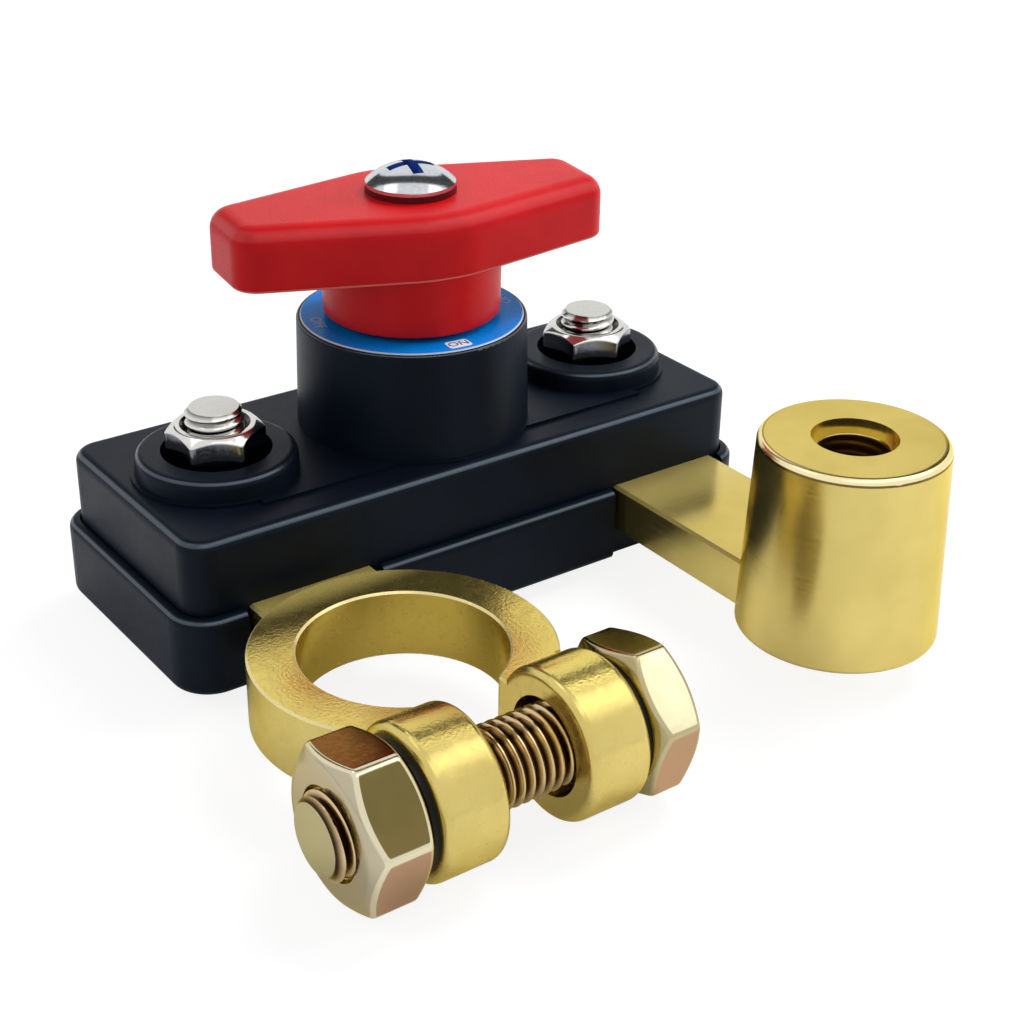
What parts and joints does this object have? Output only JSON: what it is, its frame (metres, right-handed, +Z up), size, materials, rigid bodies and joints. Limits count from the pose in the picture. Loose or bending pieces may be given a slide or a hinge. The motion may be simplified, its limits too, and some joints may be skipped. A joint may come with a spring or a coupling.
{
  "type": "battery disconnect switch",
  "caption": "Rotary battery cut-off switch with a red turning handle, a split-ring battery clamp with a tightening bolt, a tapered output post and threaded studs.",
  "frame": {"origin": "on the spindle's axis, in the plane of the housing's underside", "axes": "+Z up along the spindle, +X along the housing towards the output post, -Y from the housing to the clamp and the post"},
  "size_m": [0.0716, 0.0658, 0.0433],
  "materials": {
    "housing_black": "satin black moulding with a faint blue cast",
    "rotor_black": "plain moulded",
    "cast_brass": "satin casting, sandy top face",
    "turned_brass": "satin turned",
    "nickel_plate": "polished nickel plate",
    "copper": "bare copper strip",
    "yellow_zinc": "yellow passivated zinc plate",
    "dark_spring_steel": "blackened",
    "machined_steel": "machined",
    "seal_rubber": "matt",
    "dial_blue": "bright blue, silvery edge",
    "handle_red": "satin red moulding",
    "handle_screw_plate": "polished"
  },
  "bodies": {
    "housing": {"base": "housing_black", "cover": "housing_black", "clamp_terminal": "cast_brass", "post_terminal": "turned_brass", "stud_left": "nickel_plate", "stud_right": "nickel_plate", "contact_left": "copper", "contact_right": "copper", "clamp_bolt": "yellow_zinc", "clamp_washer_head": "dark_spring_steel", "spindle_seal": "seal_rubber", "dial_plate": "dial_blue", "cover_screw_1": "machined_steel", "cover_screw_2": "machined_steel", "cover_screw_3": "machined_steel", "cover_screw_4": "machined_steel"},
    "switch_rotor": {"handle": "handle_red", "handle_screw": "handle_screw_plate", "spindle": "machined_steel", "rotor": "rotor_black", "contact_bridge": "copper", "rotor_spring": "machined_steel"},
    "stud_washer_left": {"stud_washer_left": "nickel_plate"},
    "stud_nut_left": {"stud_nut_left": "nickel_plate"},
    "stud_washer_right": {"stud_washer_right": "nickel_plate"},
    "stud_nut_right": {"stud_nut_right": "nickel_plate"},
    "clamp_washer_nut": {"clamp_washer_nut": "dark_spring_steel"},
    "clamp_nut": {"clamp_nut": "yellow_zinc"}
  },
  "joints": [
    {"name": "handle_turn", "type": "hinge", "parent": "housing", "child": "switch_rotor", "pos_m": [0, 0, 0.027], "axis": [0, 0, 1], "range_deg": [0, 90]},
    {"name": "stud_nut_left_advance", "type": "slide", "parent": "housing", "child": "stud_washer_left", "axis": [0, 0, 1], "range_m": [0, 0.003]},
    {"name": "stud_nut_left_spin", "type": "hinge", "parent": "stud_washer_left", "child": "stud_nut_left", "pos_m": [-0.0224, 0, 0.0175], "axis": [0, 0, 1], "range_deg": [0, 1080]},
    {"name": "stud_nut_right_advance", "type": "slide", "parent": "housing", "child": "stud_washer_right", "axis": [0, 0, 1], "range_m": [0, 0.003]},
    {"name": "stud_nut_right_spin", "type": "hinge", "parent": "stud_washer_right", "child": "stud_nut_right", "pos_m": [0.0224, 0, 0.0175], "axis": [0, 0, 1], "range_deg": [0, 1080]},
    {"name": "clamp_nut_advance", "type": "slide", "parent": "housing", "child": "clamp_washer_nut", "axis": [-1, 0, 0], "range_m": [0, 0.003]},
    {"name": "clamp_nut_spin", "type": "hinge", "parent": "clamp_washer_nut", "child": "clamp_nut", "pos_m": [-0.0335, -0.0441, 0.0059], "axis": [-1, 0, 0], "range_deg": [0, 1080]}
  ],
  "couplings": [
    {"joint": "stud_nut_left_spin", "follows": "stud_nut_left_advance", "rad_per_m": 6283.2},
    {"joint": "stud_nut_right_spin", "follows": "stud_nut_right_advance", "rad_per_m": 6283.2},
    {"joint": "clamp_nut_spin", "follows": "clamp_nut_advance", "rad_per_m": 6283.2}
  ]
}
